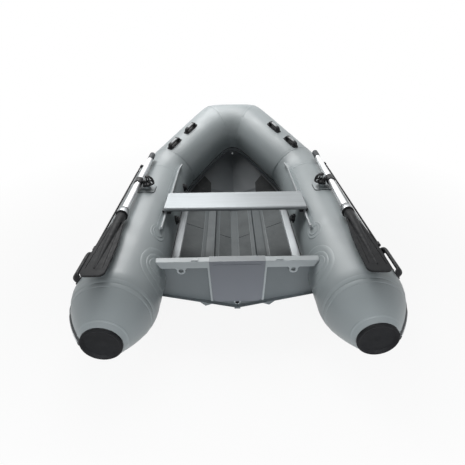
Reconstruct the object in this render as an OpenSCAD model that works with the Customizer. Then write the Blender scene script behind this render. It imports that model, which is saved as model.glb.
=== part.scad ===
// Rigid-hull inflatable dinghy: folded aluminium V-hull between air-filled fabric tubes.
// Millimetres. X to starboard, Y to the bow, Z up; the keel's lowest face is at z = 0.

/* [Overall] */
// Distance from the transom to the tube's axis at the bow
nose_y = 2063; // [1980:1:2160]
// Beam over the rubbing strakes
beam = 1654; // [1560:2:1760]
// Outer diameter of the air tubes
tube_d = 420; // [390:2:440]
// Height of the side tubes' axis above the keel
tube_z = 236; // [228:1:250]
// Wall of the tube fabric
skin = 3; // [2:0.5:4]

/* [Tube plan] */
// Distance from the transom to the stern caps' seat
overhang = 421; // [380:1:460]
// Distance from the transom to the corner where the side tube turns in
corner_y = 1357; // [1320:1:1400]
// Half width of the bow where the nose corner lies
nose_x = 156; // [150:1:166]
// Height that the bow rises above the side tubes
bow_rise = 265; // [220:1:290]
// Bend radius of the shoulder, on the tube's axis
shoulder_r = 510; // [460:5:540]
// Length of the tapered stern cone
cone_len = 249; // [220:1:270]
// Radius of the stern cap
cap_r = 94; // [80:1:110]
// Depth of the stern cap
cap_t = 14; // [10:1:20]

/* [Rubbing strake] */
// Width of the strake
strake_w = 46; // [34:1:60]
// Height of the strake off the tube
strake_t = 12; // [8:1:16]

/* [Hull] */
// Deadrise of the bottom, in degrees
deadrise = 13; // [11:0.5:13.5]
// Deadrise of the bow plates at the stem, in degrees
stem_rise = 30; // [26:1:34]
// Thickness of the hull plates
plate = 3; // [2.5:0.5:4]
// Thickness of the keel bar
keel_t = 6; // [5:0.5:8]
// Width of the keel bar
keel_w = 34; // [24:1:44]
// Aft lip of the hull beyond the transom's foot
lip = 26; // [18:1:34]
// Thickness of the cradle that carries the tube
cradle_t = 3; // [2.5:0.5:4]
// Inner edge of the hat stringer
hat_in = 118; // [110:1:126]
// Outer edge of the hat stringer
hat_out = 230; // [222:1:236]
// Height of the hat stringer
hat_h = 34; // [26:1:40]
// Wall of the hat stringer
hat_t = 3; // [2:0.5:4]
// Inner edge of the floor rail, measured in from the cradle
rail_in = 64; // [58:1:72]
// Outer edge of the floor rail, measured in from the cradle
rail_out = 14; // [8:1:20]
// Thickness of the floor rail
rail_t = 10; // [6:1:12]
// Half width of the centre strip
strip_w = 24; // [18:1:30]
// Thickness of the anti-slip mats
mat_t = 3; // [2:0.5:5]
// Side gap around each mat
mat_gap = 4; // [2:0.5:8]
// Distance from the transom to the joint between fore and aft mats
mat_joint = 752; // [720:2:790]
// Slant of the mats' joint across the floor, in degrees
mat_slant = 16; // [10:1:20]
// Distance of the bow mats' inner edge from the middle
bow_mat_x = 198; // [180:2:216]
// Height of the spray rail under the bottom
spray_h = 22; // [16:1:26]

/* [Transom] */
// Height of the transom rail's top above the keel
transom_h = 358; // [350:1:364]
// Rake of the transom, in degrees
rake = 3.9; // [2:0.1:5]
// Thickness of the transom plate
transom_t = 5; // [4:0.5:6]
// Height of the transom rail
trail_h = 44; // [38:1:50]
// Depth of the transom rail
trail_d = 40; // [36:1:46]
// Width of the motor pad at its top
pad_w = 296; // [270:2:310]
// Width of the motor pad at its foot
pad_w2 = 276; // [250:2:290]
// Height of the motor pad
pad_h = 290; // [270:2:296]
// Outer diameter of the davit eyes
eye_d = 46; // [40:1:52]
// Bore of the davit eyes
eye_bore = 26; // [22:1:30]
// Distance of the davit eyes from the middle
eye_x = 299; // [280:1:320]
// Bore of the drain socket
drain_bore = 24; // [20:1:26]

/* [Bench] */
// Height of the bench top above the keel
bench_z = 435; // [430:1:444]
// Width of the bench across the boat
bench_w = 886; // [870:2:900]
// Depth of the bench fore and aft
bench_d = 226; // [200:2:250]
// Thickness of the bench
bench_t = 26; // [20:1:27]
// Distance from the transom to the bench's aft edge
bench_y = 461; // [430:1:500]
// Angle of the seat strips in from the tube's top, in degrees
strip_a = 47; // [45:0.5:49]
// Length of the seat strips' straight run
strip_len = 900; // [850:5:910]
// Turn of the seat strips' forward end round the shoulder, in degrees
strip_turn = 21; // [10:1:26]

/* [Oars] */
// Length of an oar
oar_len = 1575; // [1500:5:1620]
// Diameter of the oar shaft
shaft_d = 42; // [38:1:44]
// Distance of the oar's axis from the boat's middle
oar_x = 647; // [640:1:652]
// Height of the oar's axis above the side tube's axis
oar_h = 256; // [254:1:262]
// Distance from the transom to the oarlock
lock_y = 741; // [720:1:760]
// Distance of the oarlock's pivot inboard of the oar
lock_in = 50; // [50:1:58]
// Distance from the oarlock to the oar's grip end
grip_end = 558; // [530:2:580]
// Length of the blade
blade_len = 545; // [520:1:580]
// Width of the blade at its end
blade_w = 110; // [100:1:124]
// Swing of the port oar from straight, in degrees
stow_port = -0.15; // [-2:0.05:3]
// Swing of the starboard oar from straight, in degrees
stow_starboard = -1.43; // [-2:0.01:3]

/* [Fittings] */
// Diameter of the lifeline
rope_d = 12; // [10:0.5:14]
// Length of a bow handle
handle_len = 170; // [150:2:190]
// Length of a stern handle
stern_len = 226; // [200:2:240]
// Angle of the lifeline out from the tube's top, in degrees
rope_a = 45; // [40:0.5:52]
// Turn of the lifeline's forward end round the shoulder, in degrees
rope_turn = 9; // [4:1:16]
// Diameter of the valve flange
valve_d = 64; // [56:1:72]
// Distance from the transom to the side valves
valve_y = 600; // [560:5:640]

/* [Fits] */
// Running clearance all round a turning pin
run = 0.4; // [0.3:0.05:0.6]
// Clearance between the tube fabric and parts beside it
fab = 0.3; // [0.3:0.1:1]

/* [Hidden] */
$fn = 96;

R = tube_d / 2;
tx = beam / 2 - strake_t - R;
zk = keel_t;
rc = R + fab + cradle_t;
td = tan(deadrise);

// Vector helpers
function unit(v) = v / norm(v);
function tang(f, a) = -f[1] * sin(a) + f[2] * cos(a);
function spot(f, r, a) = f[0] + r * (f[1] * cos(a) + f[2] * sin(a));
function inb(t) = unit(cross([0, 0, 1], t));
function upw(t) = cross(t, inb(t));

// Directions of the starboard tube's axis: along the side, along the quarter, across the nose
u1 = [0, 1, 0];
u2 = unit([nose_x - tx, nose_y - corner_y, bow_rise]);
u3 = [-1, 0, 0];
th1 = acos(u1 * u2);
t1 = shoulder_r * tan(th1 / 2);
m1 = unit(u2 - (u1 * u2) * u1);
z1 = cross(-m1, u1);
// Normal of the plane in which the quarter and the bow panel are mitred
nm = unit(u2 + u3);

// Angle in the shoulder's section of a direction at its start, from outboard and from inboard
function bend_angle(d) = atan2(d * z1, -d * m1);
sa1 = bend_angle(-inb(u1));
ca1 = bend_angle(inb(u1));
// Strake direction: straight outboard on the side tube, round the shoulder, then across the mitre
d2 = cos(sa1) * (-m1 * cos(th1) + u1 * sin(th1)) + sin(sa1) * z1;
d3 = d2 - 2 * (d2 * nm) * nm;
nose_out = max(R, (R + strake_t) * d3[1] + strake_w / 4 * abs(d3[2]));

// Lengths along the boat, with the middle of the whole length at y = 0
length = cap_t + overhang + nose_y + nose_out;
y_cap = -length / 2 + cap_t;
y_tr = y_cap + overhang;
y_cone = y_cap + cone_len;
y_nose = y_tr + nose_y;
B = [tx, y_tr + corner_y, tube_z];
C = [nose_x, y_nose, tube_z + bow_rise];
S1 = B - u1 * t1;
E1 = B + u2 * t1;
S2 = C - u2 * nose_x;
F1 = [S1 + m1 * shoulder_r, -m1, u1];
// Lengths that butt together are this far apart
butt = 0.4;

// Bend frames: origin at the bend's centre, X outwards at its start, Y along the tube
module bend(f) {
  z = cross(f[1], f[2]);
  multmatrix([[f[1][0], f[2][0], z[0], f[0][0]], [f[1][1], f[2][1], z[1], f[0][1]],
    [f[1][2], f[2][2], z[2], f[0][2]], [0, 0, 0, 1]]) children();
}
// Section frames: X inboard, Y up, Z along the tube
module section(o, t) {
  x = inb(t);
  y = upw(t);
  multmatrix([[x[0], y[0], t[0], o[0]], [x[1], y[1], t[1], o[1]], [x[2], y[2], t[2], o[2]], [0, 0, 0, 1]])
    children();
}
// A piece along the quarter, cut at the mitre plane, and the same piece reflected across the bow
module past_mitre(gap) section(C - nm * gap / 2, nm) translate([-4 * R, -4 * R, 0]) cube(8 * R);
module to_mitre(gap) difference() { children(); past_mitre(gap); }
module across_bow() translate(C) mirror(nm) translate(-C) children();
function reflect(p) = p - 2 * ((p - C) * nm) * nm;
module pick(s) { if (s > 0) children(); else mirror([1, 0, 0]) children(); }
module both() { children(); mirror([1, 0, 0]) children(); }
// Extrudes an X-Z outline from y0 to y1
module along(y0, y1) { translate([0, y1, 0]) rotate([90, 0, 0]) linear_extrude(y1 - y0) children(); }
// Solid round the starboard side tube, for cutting parts that bear on it
module side_core(r) translate([tx, y_cone - 40, tube_z]) rotate([-90, 0, 0])
  cylinder(r = r, h = S1[1] - y_cone + 80, $fn = 256);
// A flat section revolved round the shoulder; its X is inboard and its Y up where the shoulder starts
module round_shoulder(turn) bend(F1) rotate_extrude(angle = turn, $fn = 256) translate([shoulder_r, 0])
  rotate(ca1) mirror([0, 1]) children();
// Rectangle with round corners, from the origin
module round_rect(w, h, r) {
  translate([r, 0]) square([w - 2 * r, h]);
  translate([0, r]) square([w, h - 2 * r]);
  for (x = [r, w - r], y = [r, h - r]) translate([x, y]) circle(r);
}
// Depth of the transom plate's aft face behind the rail's aft face, and where its foot stands
web = 30;
foot_y = y_tr + web + (transom_h - zk) * tan(rake);
floor_y = foot_y + transom_t + 4;
// Z of the floor plate's top face at a distance from the middle
function zf(x) = zk + plate / cos(deadrise) + x * td;
// Distance from the middle at which the floor's top face meets the cradle
zd = zf(0) - tube_z;
chine_x = (tx - td * zd - sqrt(pow(tx - td * zd, 2) - (1 + td * td) * (tx * tx + zd * zd - rc * rc)))
  / (1 + td * td);

// Hull
module bottom() color([0.44, 0.46, 0.48]) difference() {
  along(foot_y - lip, S1[1]) polygon([[0, zk], [tx, zk + tx * td], [tx, zf(tx)], [0, zf(0)]]);
  side_core(rc);
}
module hull_bottom_port() pick(-1) bottom();
module hull_bottom_starboard() bottom();

// Stations of the bow plates from the bottom's forward end to the stem: chine points H along the tube's
// path, and keel points K below them, where the deadrise grows with the chine's height
function chine_at(p, t) = p + (rc + plate) * (cos(36) * inb(t) - sin(36) * upw(t));
chine_end = chine_at(S2, u2);
stem = reflect(chine_end);
H = concat([for (k = [0:0.25:1]) chine_at(spot(F1, shoulder_r, th1 * k), tang(F1, th1 * k))],
  [for (k = [1 / 3, 2 / 3, 1]) chine_at(E1 + (S2 - E1) * k, u2)],
  [chine_end + u2 * ((C - chine_end) * nm) / (u2 * nm)]);
n_st = len(H);
function climb(i) = (H[i][2] - H[0][2]) / (H[n_st - 1][2] - H[0][2]);
function rise(i) = deadrise + (stem_rise - deadrise) * climb(i);
foot_gap = H[0][2] - H[0][0] * td - zk;
K = [for (i = [0:n_st - 1]) [0, H[i][1], H[i][2] - H[i][0] * tan(rise(i)) - foot_gap * (1 - climb(i))]];
// Stem head: both plates close on the middle line just behind the bow panel
stem_h = 12;
K_all = concat(K, [[0, stem[1] + 2, stem[2] - stem_h]]);
H_all = concat(H, [[0, stem[1] + 2, stem[2]]]);
function inner_at(i) = plate / cos(rise(i)) * unit([0, -0.6 * climb(i), 1]);
inner = [for (i = [0:n_st]) inner_at(min(i, n_st - 1))];
// Solid between two layers of points, each listed keel side then chine side from station to station
module plating(low, high) {
  m = len(low);
  quads = [for (i = [0:2:m - 4]) i];
  polyhedron(concat(low, high), concat(
    [for (i = quads) each [[i, i + 3, i + 2], [i, i + 1, i + 3]]],
    [for (i = quads) each [[m + i, m + i + 2, m + i + 3], [m + i, m + i + 3, m + i + 1]]],
    [for (i = quads) each [[i, m + i + 2, m + i], [i, i + 2, m + i + 2]]],
    [for (i = quads) each [[i + 1, m + i + 3, i + 3], [i + 1, m + i + 1, m + i + 3]]],
    [[0, m + 1, 1], [0, m, m + 1]], [[m - 2, 2 * m - 1, 2 * m - 2], [m - 2, m - 1, 2 * m - 1]]));
}
function bow_points(k) = [for (i = [0:n_st]) for (p = [K_all[i], H_all[i]]) p + inner[i] * k];
module bow_plate() color([0.44, 0.46, 0.48]) plating(bow_points(0), bow_points(1));
module bow_plate_port() pick(-1) bow_plate();
module bow_plate_starboard() bow_plate();

module keel_bar() color([0.40, 0.42, 0.44]) along(foot_y - lip, S1[1]) polygon([[-keel_w / 2, 0],
  [keel_w / 2, 0], [keel_w / 2, zk + keel_w / 2 * td], [0, zk], [-keel_w / 2, zk + keel_w / 2 * td]]);
module spray_rails() color([0.40, 0.42, 0.44]) both() along(foot_y - lip, S1[1])
  polygon([[146, zk + 146 * td], [183, zk + 183 * td - spray_h], [214, zk + 214 * td]]);
// Curved seats that follow the tubes' lower inboard face
module cradle_arc() difference() {
  intersection() {
    circle(rc, $fn = 256);
    polygon([[0, 0], 2 * R * [cos(20), -sin(20)], 2 * R * [cos(62), -sin(62)]]);
  }
  circle(R + fab, $fn = 256);
}
module cradles() color([0.46, 0.48, 0.50]) both() {
  section([tx, floor_y, tube_z], u1) linear_extrude(S1[1] - butt - floor_y) cradle_arc();
  round_shoulder(th1) cradle_arc();
  to_mitre(butt) section(E1 + u2 * butt, u2) linear_extrude(norm(C - E1) + R) cradle_arc();
  across_bow() to_mitre(butt) section(S2 + u2 * butt, u2) linear_extrude(nose_x + R) cradle_arc();
}

// Floor
module hat() {
  zt = zf((hat_in + hat_out) / 2) + hat_h;
  polygon([[hat_in, zf(hat_in)], [hat_in + 26, zf(hat_in + 26)], [hat_in + 30, zt - hat_t],
    [hat_out - 30, zt - hat_t], [hat_out - 26, zf(hat_out - 26)], [hat_out, zf(hat_out)],
    [hat_out, zf(hat_out) + hat_t], [hat_out - 23, zf(hat_out - 23) + hat_t], [hat_out - 27, zt],
    [hat_in + 27, zt], [hat_in + 23, zf(hat_in + 23) + hat_t], [hat_in, zf(hat_in) + hat_t]]);
}
module stringers() color([0.62, 0.64, 0.66]) both() along(floor_y, S1[1]) hat();
// Strip of even thickness on the floor between two distances from the middle
module lane(x0, x1, t) polygon([[x0, zf(x0)], [x1, zf(x1)], [x1, zf(x1) + t], [x0, zf(x0) + t]]);
module floor_rails() color([0.72, 0.74, 0.76]) both() along(floor_y, S1[1])
  lane(chine_x - rail_in, chine_x - rail_out, rail_t);
module centre_strip() color([0.60, 0.62, 0.64]) along(floor_y, S1[1]) polygon([[-strip_w, zf(strip_w)],
  [0, zf(0)], [strip_w, zf(strip_w)], [strip_w, zf(strip_w) + 4], [-strip_w, zf(strip_w) + 4]]);
// Slanted gap between the fore and aft mats
module mat_cut() translate([0, y_tr + mat_joint, -1]) linear_extrude(tube_z)
  polygon([[0, -mat_gap], [tx, tx * tan(mat_slant) - mat_gap], [tx, tx * tan(mat_slant) + mat_gap],
    [0, mat_gap]]);
// Bow mats lie on the bow plates; their inner and outer edges end at different stations, on a slant
mat_edge = 28;
mat_glue = 2.8;
bow_mat_at = [[0.06, 0.06], [1, 1], [2, 2], [3, 3], [4, 4], [4.36, 4.71]];
function between(list, t) = list[floor(t)] + (list[ceil(t)] - list[floor(t)]) * (t - floor(t));
function on_plate(t, x, k) = between(K, t) + (between(H, t) - between(K, t)) * x / between(H, t)[0]
  + between(inner, t) * k;
function bow_mat_points(k) = [for (t = bow_mat_at) for (p = [on_plate(t[0], bow_mat_x, k),
  on_plate(t[1], between(H, t[1])[0] - mat_edge, k)]) p];
module mats() color([0.20, 0.21, 0.22]) both() {
  difference() {
    along(floor_y + mat_gap, S1[1] - mat_gap) {
      lane(strip_w + mat_gap, hat_in - mat_gap, mat_t);
      lane(hat_out + mat_gap, chine_x - rail_in - mat_gap, mat_t);
    }
    mat_cut();
  }
  plating(bow_mat_points(1 + mat_glue / plate), bow_mat_points(1 + (mat_glue + mat_t) / plate));
}
// Small flat plate that bridges the two bow plates behind the stem head
gusset_w = 30;
module bow_gusset() color([0.66, 0.68, 0.70]) {
  a = (K[n_st - 3] + K[n_st - 2]) / 2 + inner[n_st - 2] + [0, 0, 0.4];
  b = K[n_st - 1] + inner[n_st - 1] + [0, 0, gusset_w * tan(stem_rise) + 0.4];
  reach = norm(b - a);
  translate(a) rotate([atan2(b[2] - a[2], b[1] - a[1]), 0, 0]) linear_extrude(3)
    polygon([[0, 0], [gusset_w, reach], [-gusset_w, reach]]);
}

// Transom, built in a raked frame: X across, Y up, Z aft
module raked() translate([0, y_tr, transom_h]) rotate([90 + rake, 0, 0]) children();
module clear_hull() {
  along(y_tr - overhang / 2, S1[1])
    polygon([[-tx, -tube_z], [tx, -tube_z], [tx, zf(tx)], [0, zf(0)], [-tx, zf(tx)]]);
  both() side_core(R + fab);
}
// Distance of the drain below the rail's top, along the transom
drain_p = -(transom_h - zf(0) - 24) / cos(rake);
module transom_plate() color([0.42, 0.44, 0.46]) difference() {
  raked() translate([-tx, -transom_h - 20, -web - transom_t])
    cube([2 * tx, transom_h + 20 - trail_h, transom_t]);
  clear_hull();
  raked() translate([0, drain_p, -60]) cylinder(d = drain_bore + 8, h = 60);
}
// Hollow rail, whose open ends keep clear of the tubes
rail_room = 5;
module transom_rail() color([0.60, 0.62, 0.64]) difference() {
  raked() difference() {
    translate([-tx, -trail_h, -trail_d]) cube([2 * tx, trail_h, trail_d]);
    translate([-tx - 1, -trail_h + 3, -trail_d + 3]) cube([2 * tx + 2, trail_h - 6, trail_d - 6]);
  }
  both() side_core(R + rail_room);
}
// Raised tabs on the rail and the two ribs that frame the motor pad
rib_w = 11;
function pad_half(y) = pad_w / 2 + (pad_w2 - pad_w) / 2 * (-y / pad_h);
module transom_ribs() color([0.58, 0.60, 0.62]) difference() {
  raked() {
    both() translate([0, 0, -web]) linear_extrude(web - 6) polygon([[pad_half(-trail_h) + 1, -trail_h],
      [pad_half(-trail_h) + 1 + rib_w, -trail_h], [pad_half(-pad_h - 6) + 1 + rib_w, -pad_h - 6],
      [pad_half(-pad_h - 6) + 1, -pad_h - 6]]);
    both() translate([204, 0, -30]) cube([38, 4, 22]);
  }
  clear_hull();
}
module pad_shape(top, foot, inset) {
  r = 22;
  w = pad_half(foot) - inset;
  polygon([[-pad_half(top) + inset, top], [pad_half(top) - inset, top], [w, foot + r], [w - r, foot],
    [r - w, foot], [-w, foot + r]]);
}
// Room round the drain's flange, which a deep pad is notched for
drain_room = 4;
module clear_drain() raked() translate([0, drain_p, -web - transom_t - 20])
  cylinder(d = drain_bore + 16 + 2 * drain_room, h = web + transom_t + 40);
module motor_pad_outer() color([0.50, 0.52, 0.55]) difference() {
  raked() {
    translate([0, 0, -web]) linear_extrude(web) pad_shape(-trail_h, -pad_h, 0);
    linear_extrude(4) pad_shape(0, -pad_h, 0);
    translate([0, 0, 4]) linear_extrude(3) pad_shape(-18, -pad_h + 22, 16);
    translate([-pad_w / 2, 0, -trail_d]) cube([pad_w, 4, trail_d + 4]);
  }
  clear_drain();
  clear_hull();
}
module motor_pad_inner() color([0.50, 0.52, 0.55]) difference() {
  raked() translate([0, 0, -web - transom_t - 10]) linear_extrude(10)
    pad_shape(-trail_h - 2, -pad_h + 40, 12);
  clear_drain();
  clear_hull();
}
module davit_eyes() color([0.74, 0.76, 0.78]) raked() both()
  translate([eye_x, -trail_h - eye_d / 2 + 2, -12]) difference() {
    union() {
      cylinder(d = eye_d, h = 8);
      linear_extrude(8) polygon([[-34, eye_d / 2 - 2], [34, eye_d / 2 - 2], [eye_d / 2 - 5, 4],
        [-eye_d / 2 + 5, 4]]);
    }
    translate([0, 0, -1]) cylinder(d = eye_bore, h = 10);
    translate([-eye_d, eye_d / 2 - 2, -1]) cube([2 * eye_d, 20, 10]);
  }
module drain_socket() color([0.74, 0.76, 0.78]) raked() translate([0, drain_p, -web - transom_t - 4])
  difference() {
    union() {
      cylinder(d = drain_bore + 8, h = transom_t + 12);
      translate([0, 0, transom_t + 4]) cylinder(d = drain_bore + 16, h = 4);
    }
    translate([0, 0, -1]) cylinder(d = drain_bore, h = transom_t + 20);
  }
module drain_plug() color([0.10, 0.10, 0.11]) raked() translate([0, drain_p, -web - transom_t - 2]) {
  cylinder(d = drain_bore - 2 * run, h = transom_t + 6);
  translate([0, 0, transom_t + 6]) cylinder(d = 8, h = 10);
  translate([0, 0, transom_t + 14]) sphere(d = 12);
}

// Tubes
module ring2d() difference() { circle(R); circle(R - skin); }
module side_tube() color([0.56, 0.58, 0.60]) section([tx, y_cone, tube_z], u1)
  linear_extrude(S1[1] - y_cone) ring2d();
module side_tube_port() pick(-1) side_tube();
module side_tube_starboard() side_tube();
module shoulder() color([0.56, 0.58, 0.60]) bend(F1) rotate_extrude(angle = th1)
  translate([shoulder_r, 0]) ring2d();
module shoulder_port() pick(-1) shoulder();
module shoulder_starboard() shoulder();
module quarter() color([0.56, 0.58, 0.60]) section(E1, u2) linear_extrude(norm(S2 - E1)) ring2d();
module quarter_port() pick(-1) quarter();
module quarter_starboard() quarter();
// Two straight lengths that meet in the mitre plane; the second ends on the middle line
module bow_gore() color([0.56, 0.58, 0.60]) {
  to_mitre(butt) section(S2, u2) linear_extrude(nose_x + R) ring2d();
  across_bow() to_mitre(butt) section(S2, u2) linear_extrude(nose_x + R) ring2d();
}
module bow_gore_port() pick(-1) bow_gore();
module bow_gore_starboard() bow_gore();
// Barrel-shaped stern cone, drawn as radius against distance aft
cone_n = 14;
function cone_r(k) = R - (R - cap_r) * pow(k, 1.645);
function cone_line(off) = [for (i = [0:cone_n]) [cone_r(i / cone_n) + off, i / cone_n * cone_len]];
module cone() color([0.56, 0.58, 0.60]) translate([tx, y_cone, tube_z]) rotate([90, 0, 0]) rotate_extrude()
  polygon(concat(cone_line(0), [for (i = [cone_n:-1:0]) cone_line(-skin)[i]]));
module cone_port() pick(-1) cone();
module cone_starboard() cone();
// Dished cap with a rounded rim
module end_caps() color([0.07, 0.07, 0.08]) both() translate([tx, y_cap, tube_z]) rotate([90, 0, 0])
  rotate_extrude() polygon([[0, 0], [cap_r, 0], [cap_r, cap_t - 3], [cap_r - 3, cap_t], [cap_r - 9, cap_t],
    [cap_r - 22, 5], [0, 3]]);
module bulkheads() color([0.45, 0.46, 0.48]) both() {
  section(S1 - [0, 3, 0], u1) cylinder(r = R - skin, h = 3);
  section([tx, y_cone, tube_z], u1) cylinder(r = R - skin, h = 3);
}

// Rubbing strake: one profile carried along the tube at a fixed angle of its section
module strake2d(a) rotate(a) difference() {
  polygon([[0, -strake_w / 2], [R + 4, -strake_w / 2], [R + strake_t, -strake_w / 4],
    [R + strake_t, strake_w / 4], [R + 4, strake_w / 2], [0, strake_w / 2]]);
  circle(R + fab, $fn = 256);
}
// Frame of the strake on the quarter: the shoulder's section carried to its end, Z along the quarter
module on_quarter() bend(F1) rotate(th1) translate([shoulder_r, 0, 0]) rotate([-90, 0, 0]) mirror([0, 1, 0])
  children();
// The strake comes in lengths that butt together where the tube's gores meet
module strake() color([0.36, 0.38, 0.40]) {
  translate([tx, y_cone, tube_z]) rotate([90, 0, 0]) intersection() {
    rotate_extrude() polygon(concat(cone_line(strake_t), [for (i = [cone_n:-1:0]) cone_line(fab)[i]]));
    translate([0, -strake_w / 2, butt]) cube([2 * R, strake_w, cone_len - butt]);
  }
  translate([tx, S1[1] - butt, tube_z]) rotate([90, 0, 0]) linear_extrude(S1[1] - butt - y_cone) strake2d(0);
  bend(F1) rotate_extrude(angle = th1, $fn = 256) translate([shoulder_r, 0]) strake2d(sa1);
  to_mitre(butt) on_quarter() translate([0, 0, butt]) linear_extrude(norm(C - E1) + R) strake2d(sa1);
  across_bow() to_mitre(butt) on_quarter() translate([0, 0, norm(S2 - E1)])
    linear_extrude(nose_x + R) strake2d(sa1);
}
module strake_port() pick(-1) strake();
module strake_starboard() strake();

// Bench: strips on the tubes with a bead, and holders that slide along the bead
bead_r = 7;
bead_up = 21;
function bead(r) = [tx - r * sin(strip_a), tube_z + r * cos(strip_a)];
flange_w = 44;
module strip2d() rotate(-strip_a) {
  difference() {
    translate([-flange_w / 2, 0]) square([flange_w, R + 4]);
    circle(R + fab, $fn = 256);
  }
  translate([-3, R + 3.9]) square([6, bead_up - 8]);
  translate([0, R + bead_up]) circle(bead_r);
}
module seat_strips() color([0.62, 0.64, 0.66]) both() {
  section(S1 - [0, strip_len, 0], u1) linear_extrude(strip_len - butt) strip2d();
  round_shoulder(strip_turn) strip2d();
}
// Hollow bench with two webs inside and closed ends
bench_wall = 3;
tube_room = 9;
module bench() color([0.80, 0.81, 0.82]) difference() {
  translate([-bench_w / 2, y_tr + bench_y, bench_z - bench_t]) rotate([90, 0, 90]) difference() {
    linear_extrude(bench_w) round_rect(bench_d, bench_t, 8);
    translate([bench_wall, bench_wall, bench_wall]) linear_extrude(bench_w - 2 * bench_wall) difference() {
      round_rect(bench_d - 2 * bench_wall, bench_t - 2 * bench_wall, 8 - bench_wall);
      for (k = [1 / 3, 2 / 3]) translate([k * bench_d - 1.5 * bench_wall, 0]) square([bench_wall, bench_t]);
    }
  }
  both() side_core(R + tube_room);
}
// Holders reach from under the bench's end to the bead that they slide on
holder_in = 37;
holder_lip = 14;
holder_wall = 9;
module bench_holders() color([0.12, 0.12, 0.13]) both()
  along(y_tr + bench_y + 20, y_tr + bench_y + bench_d - 20) difference() {
    c = bead(R + bead_up);
    x0 = min(bench_w / 2 - holder_in, c[0] - bead_r - holder_wall);
    translate([x0, c[1] - 9]) square([c[0] + bead_r + holder_lip - x0, bench_z - bench_t - c[1] + 9]);
    translate(c) circle(bead_r + run);
    translate([tx, tube_z]) rotate(strip_a) translate([-3 - run, R]) square([6 + 2 * run, bead_up]);
    translate([tx, tube_z]) circle(R + tube_room, $fn = 256);
  }

// Oarlock and oar, in a frame at the lock pivot with Z up; s is the side
px = oar_x - lock_in;
lz = tube_z + R;
arm_z = lz + 24;
oz = tube_z + oar_h;
sleeve_r = shaft_d / 2 + 6;
pin_r = 8;
lug_x = lock_in - sleeve_r - 13;
// Pin that the sleeve tilts on, and the hand ring round the hub
pivot_r = 6;
ring_r = 36;
lock_pad = [112, 130];
module at_lock(s, a) pick(s) translate([px, y_tr + lock_y, 0]) rotate(a) children();
module oarlock_bases() color([0.34, 0.35, 0.37]) both() difference() {
  translate([px, y_tr + lock_y, 0]) {
    difference() {
      translate([-lock_pad[0] / 2, -lock_pad[1] / 2, tube_z + R - 40]) linear_extrude(60)
        round_rect(lock_pad[0], lock_pad[1], 26);
      translate([-px + tx, -100, tube_z]) rotate([-90, 0, 0]) difference() {
        cylinder(r = R + 100, h = 200);
        translate([0, 0, -1]) cylinder(r = R + 6, h = 202, $fn = 256);
      }
    }
    translate([0, 0, lz - 12]) cylinder(r = 24, h = arm_z - lz + 12 - 0.4);
  }
  side_core(R + fab);
  translate([px, y_tr + lock_y, lz]) cylinder(r = pin_r + run, h = 60);
}
// Turning hub with the arm, the lug that carries the sleeve's pin, and a spoked ring open towards the oar
module swivel() color([0.06, 0.06, 0.07]) {
  translate([0, 0, lz + 2]) cylinder(r = pin_r, h = arm_z - lz);
  translate([0, 0, arm_z]) cylinder(r = 22, h = 8);
  translate([0, -16, arm_z]) cube([lug_x + 10, 32, 8]);
  difference() {
    union() {
      translate([lug_x, -16, arm_z]) cube([10, 32, oz - arm_z]);
      translate([lug_x, 0, oz]) rotate([0, 90, 0]) cylinder(r = 16, h = 10);
    }
    translate([lug_x - 1, 0, oz]) rotate([0, 90, 0]) cylinder(r = pivot_r + run, h = 20);
  }
  difference() {
    translate([0, 0, arm_z]) {
      difference() {
        cylinder(r = ring_r, h = 9);
        translate([0, 0, -1]) cylinder(r = ring_r - 8, h = 12);
      }
      for (a = [90, 180, 270]) rotate(a) translate([0, -4, 0]) cube([ring_r - 4, 8, 8]);
    }
    translate([lug_x + 8, -ring_r - 1, arm_z - 1]) cube([ring_r, 2 * ring_r + 2, 12]);
  }
}
module swivel_port() at_lock(-1, stow_port) swivel();
module swivel_starboard() at_lock(1, stow_starboard) swivel();
// Oar frame: axis along Y, origin at the sleeve's middle
module at_oar(s, a) at_lock(s, a) translate([lock_in, 0, oz]) children();
tip_end = grip_end - oar_len;
blade_y = tip_end + blade_len;
module rod(y0, y1, r) translate([0, y0, 0]) rotate([-90, 0, 0]) cylinder(r = r, h = y1 - y0);
module oar_sleeve() color([0.05, 0.05, 0.06]) {
  difference() {
    union() {
      rod(-34, 34, sleeve_r);
      translate([-sleeve_r - 14, 0, 0]) rotate([0, 90, 0]) cylinder(r = pivot_r, h = 20);
      translate([-sleeve_r - 18, 0, 0]) rotate([0, 90, 0]) cylinder(r = pivot_r + 3, h = 4.5);
    }
    rod(-40, 40, shaft_d / 2);
  }
}
module oar_shaft() color([0.86, 0.87, 0.88]) difference() {
  rod(blade_y - 60, grip_end - 130, shaft_d / 2);
  rod(blade_y - 61, grip_end - 100, shaft_d / 2 - 2);
}
module oar_grip() color([0.45, 0.46, 0.48]) {
  rod(grip_end - 130, grip_end - 14, shaft_d / 2 + 1);
  translate([0, grip_end - 14, 0]) rotate([-90, 0, 0])
    cylinder(r1 = shaft_d / 2 + 1, r2 = shaft_d / 2 - 8, h = 14);
}
collar_r = shaft_d / 2 + 13;
module oar_collar() color([0.66, 0.67, 0.69]) difference() {
  union() {
    rod(blade_y + 8, blade_y + 42, collar_r);
    rod(blade_y + 42, blade_y + 56, collar_r - 4);
  }
  rod(blade_y, blade_y + 60, shaft_d / 2);
}
// Blade: a plate that swells from the neck to a rounded end, with a tapering spine and two grooves
blade_t = 10;
neck_w = 30;
end_r = 28;
function blade_half(k) = neck_w / 2 + (blade_w - neck_w) / 2 * (1 - pow(1 - k, 2.6));
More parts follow.
